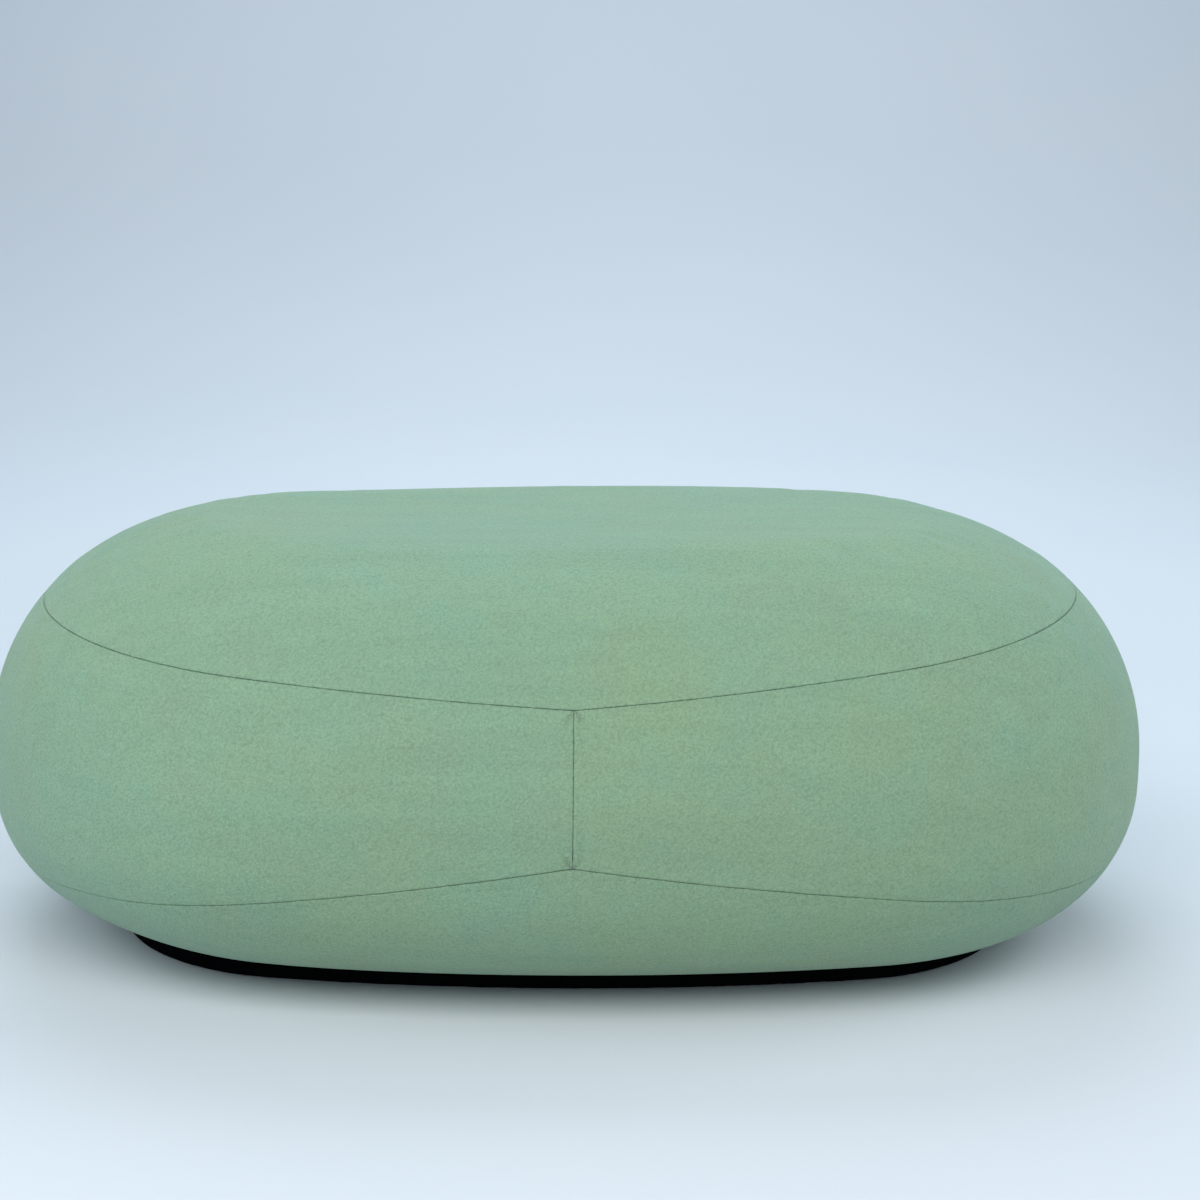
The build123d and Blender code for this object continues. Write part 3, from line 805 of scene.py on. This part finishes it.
# ---------------------------------------------------------------- glides
# Eight thin round feet of black moulded nylon, nailed under the plinth. They keep the black band just
# off the floor, and their faces are dulled by sliding.
glide_plastic = new_finish("black_nylon", {"Specular IOR Level": 0.45})
scuffs = grain(glide_plastic, place_on(glide_plastic, (1, 8, 1)), 0.006, 5, 0.7, 0.6)
moulded = grain(glide_plastic, place_on(glide_plastic), 0.0012, 2, 0.5)
nylon = shades(glide_plastic, scuffs, (0.35, (0.010, 0.010, 0.011)), (0.72, (0.030, 0.030, 0.031)))
dull = add(glide_plastic, "MapRange", {"Value": scuffs, "To Min": 0.38, "To Max": 0.72})
to_shader(glide_plastic, base_color=nylon, roughness=dull, normal=raised(glide_plastic, moulded, 0.00008))
give(glide_plastic, "glides")


# ---------------------------------------------------------------- screws and staples
# Countersunk zinc-plated screws hold the posts, rails and plinth. Fine wire staples, a few
# millimetres apart, hold the cover's hem up under the base board.
zinc = new_finish("zinc_plated_steel", {"Metallic": 1.0})
brushing = grain(zinc, place_on(zinc, (1, 1, 12)), 0.0015, 4, 0.7)
spangle = add(zinc, "TexVoronoi", {"Vector": place_on(zinc), "Scale": 900.0}, output=1)
plating = shades(zinc, brushing, (0.3, (0.46, 0.46, 0.44)), (0.7, (0.66, 0.66, 0.63)))
polish = add(zinc, "MapRange", {"Value": brushing, "To Min": 0.22, "To Max": 0.42})
to_shader(zinc, base_color=tinted(zinc, plating, spangle, 0.06), roughness=polish,
          normal=raised(zinc, brushing, 0.00003))
give(zinc, "base_screws", "rail_screws", "plinth_screws")

wire = new_finish("staple_wire", {"Metallic": 1.0})
drawn = grain(wire, place_on(wire, (1, 1, 6)), 0.0008, 3, 0.6)
to_shader(wire, base_color=shades(wire, drawn, (0.3, (0.40, 0.40, 0.41)), (0.7, (0.58, 0.58, 0.59))),
          roughness=add(wire, "MapRange", {"Value": drawn, "To Min": 0.25, "To Max": 0.45}),
          normal=raised(wire, drawn, 0.00002))
give(wire, "cover_staples")


# ---------------------------------------------------------------- stage
# A seamless pale sweep for floor and back wall, one large soft light above the front, weaker ones low
# in front, at both sides and behind, one on the wall, and pale blue air all round.
SWEEP_FRONT = -6
SWEEP_BACK = 2.4
SWEEP_RADIUS = 4.2
SWEEP_HALF = 9.0
FLOOR_STEPS, CURVE_STEPS, WALL_STEPS = 10, 24, 6
WALL_STEP = 0.5
floor_depth = SWEEP_BACK - SWEEP_FRONT
profile = [(SWEEP_FRONT + floor_depth * step / FLOOR_STEPS, 0.0) for step in range(FLOOR_STEPS)]
for step in range(CURVE_STEPS + 1):
    tilt = math.pi / 2 * step / CURVE_STEPS
    profile.append((SWEEP_BACK + SWEEP_RADIUS * math.sin(tilt), SWEEP_RADIUS - SWEEP_RADIUS * math.cos(tilt)))
profile += [(SWEEP_BACK + SWEEP_RADIUS, SWEEP_RADIUS + WALL_STEP * step) for step in range(1, WALL_STEPS + 1)]
sweep = new_grid("sweep", 3, len(profile))
put_places(sweep, np.array([[(x, y, z) for x in (-SWEEP_HALF, 0.0, SWEEP_HALF)] for y, z in profile]))
shade_smooth(sweep)
paper = new_finish("pale_sweep", {"Roughness": 0.9, "Specular IOR Level": 0.2})
cast = grain(paper, place_on(paper), 1.3, 2, 0.5)
tooth = grain(paper, place_on(paper), 0.003, 3, 0.6)
pale = shades(paper, cast, (0.35, (0.682, 0.708, 0.752)), (0.65, (0.706, 0.724, 0.762)))
to_shader(paper, base_color=pale, normal=raised(paper, tooth, 0.0001))
sweep.data.materials.append(paper)

AIR_COLOUR = (0.60, 0.82, 1.0, 1)
AIR_STRENGTH = 0.36
air = bpy.data.worlds.new("pale_air")
air.use_nodes = True
air.node_tree.nodes["Background"].inputs["Color"].default_value = AIR_COLOUR
air.node_tree.nodes["Background"].inputs["Strength"].default_value = AIR_STRENGTH
bpy.context.scene.world = air


def soft_light(name, size, power, colour, place, towards):
    """A large soft panel of light, of that width and height in metres and power in watts."""
    lamp = bpy.data.lights.new(name, "AREA")
    lamp.shape = "RECTANGLE"
    (lamp.size, lamp.size_y), lamp.energy, lamp.color = size, power, colour
    held = bpy.data.objects.new(name, lamp)
    held.location = place
    held.rotation_euler = (Vector(towards) - Vector(place)).to_track_quat("-Z", "Y").to_euler()
    bpy.context.scene.collection.objects.link(held)


soft_light("key_light", size=(3.8, 1.9), power=65, colour=(0.99, 0.99, 0.97),
           place=(-0.30, -2.05, 2.5), towards=(-0.05, -0.1, 0.1))
soft_light("low_light", size=(2.6, 1.2), power=16, colour=(1.0, 0.99, 0.97),
           place=(0.0, -3.6, 0.9), towards=(0, 0, 0.15))
soft_light("right_light", size=(1.6, 1.4), power=22, colour=(0.88, 0.95, 1.0),
           place=(2.4, 0.3, 1.3), towards=(0.3, 0, 0.1))
soft_light("left_light", size=(1.6, 1.4), power=17, colour=(0.86, 0.94, 1.0),
           place=(-2.4, -0.6, 1.4), towards=(-0.3, 0, 0.1))
soft_light("back_light", size=(2.4, 1.4), power=33, colour=(0.80, 0.93, 1.0),
           place=(-0.2, 1.7, 2.4), towards=(0, 0, 0.3))
soft_light("rear_light", size=(2.4, 1.2), power=2, colour=(0.90, 0.96, 1.0),
           place=(0.0, 3.0, 1.8), towards=(0, 0, 0.2))
soft_light("wall_light", size=(2.2, 2.2), power=64, colour=(0.90, 0.96, 1.0),
           place=(0.3, 2.4, 3.2), towards=(0.3, 5.8, 1.6))

VIEW_AIM = Vector((0.0303, 0, 0.3182))
VIEW_LENS = 85.7
FILM_WIDTH = 36
VIEW_DISTANCE = 2.75
VIEW_TILT = math.radians(13.70)
VIEW_SWING = math.radians(-1.726)
VIEW_ROLL = math.radians(0.823)
back = Vector((0, -math.cos(VIEW_TILT), math.sin(VIEW_TILT)))
right = Vector((1, 0, 0))
up = back.cross(right)
turned_right = right * math.cos(VIEW_ROLL) + up * math.sin(VIEW_ROLL)
turned_up = up * math.cos(VIEW_ROLL) - right * math.sin(VIEW_ROLL)
spot = VIEW_AIM + back * VIEW_DISTANCE
stand = Matrix((
    (turned_right.x, turned_up.x, back.x, spot.x),
    (turned_right.y, turned_up.y, back.y, spot.y),
    (turned_right.z, turned_up.z, back.z, spot.z),
    (0, 0, 0, 1),
))
camera = bpy.data.objects.new("camera", bpy.data.cameras.new("camera"))
camera.data.sensor_width = FILM_WIDTH
camera.data.lens = VIEW_LENS
camera.matrix_world = Matrix.Rotation(VIEW_SWING, 4, "Z") @ stand
bpy.context.scene.collection.objects.link(camera)
bpy.context.scene.camera = camera
bpy.context.scene.view_settings.view_transform = "Standard"
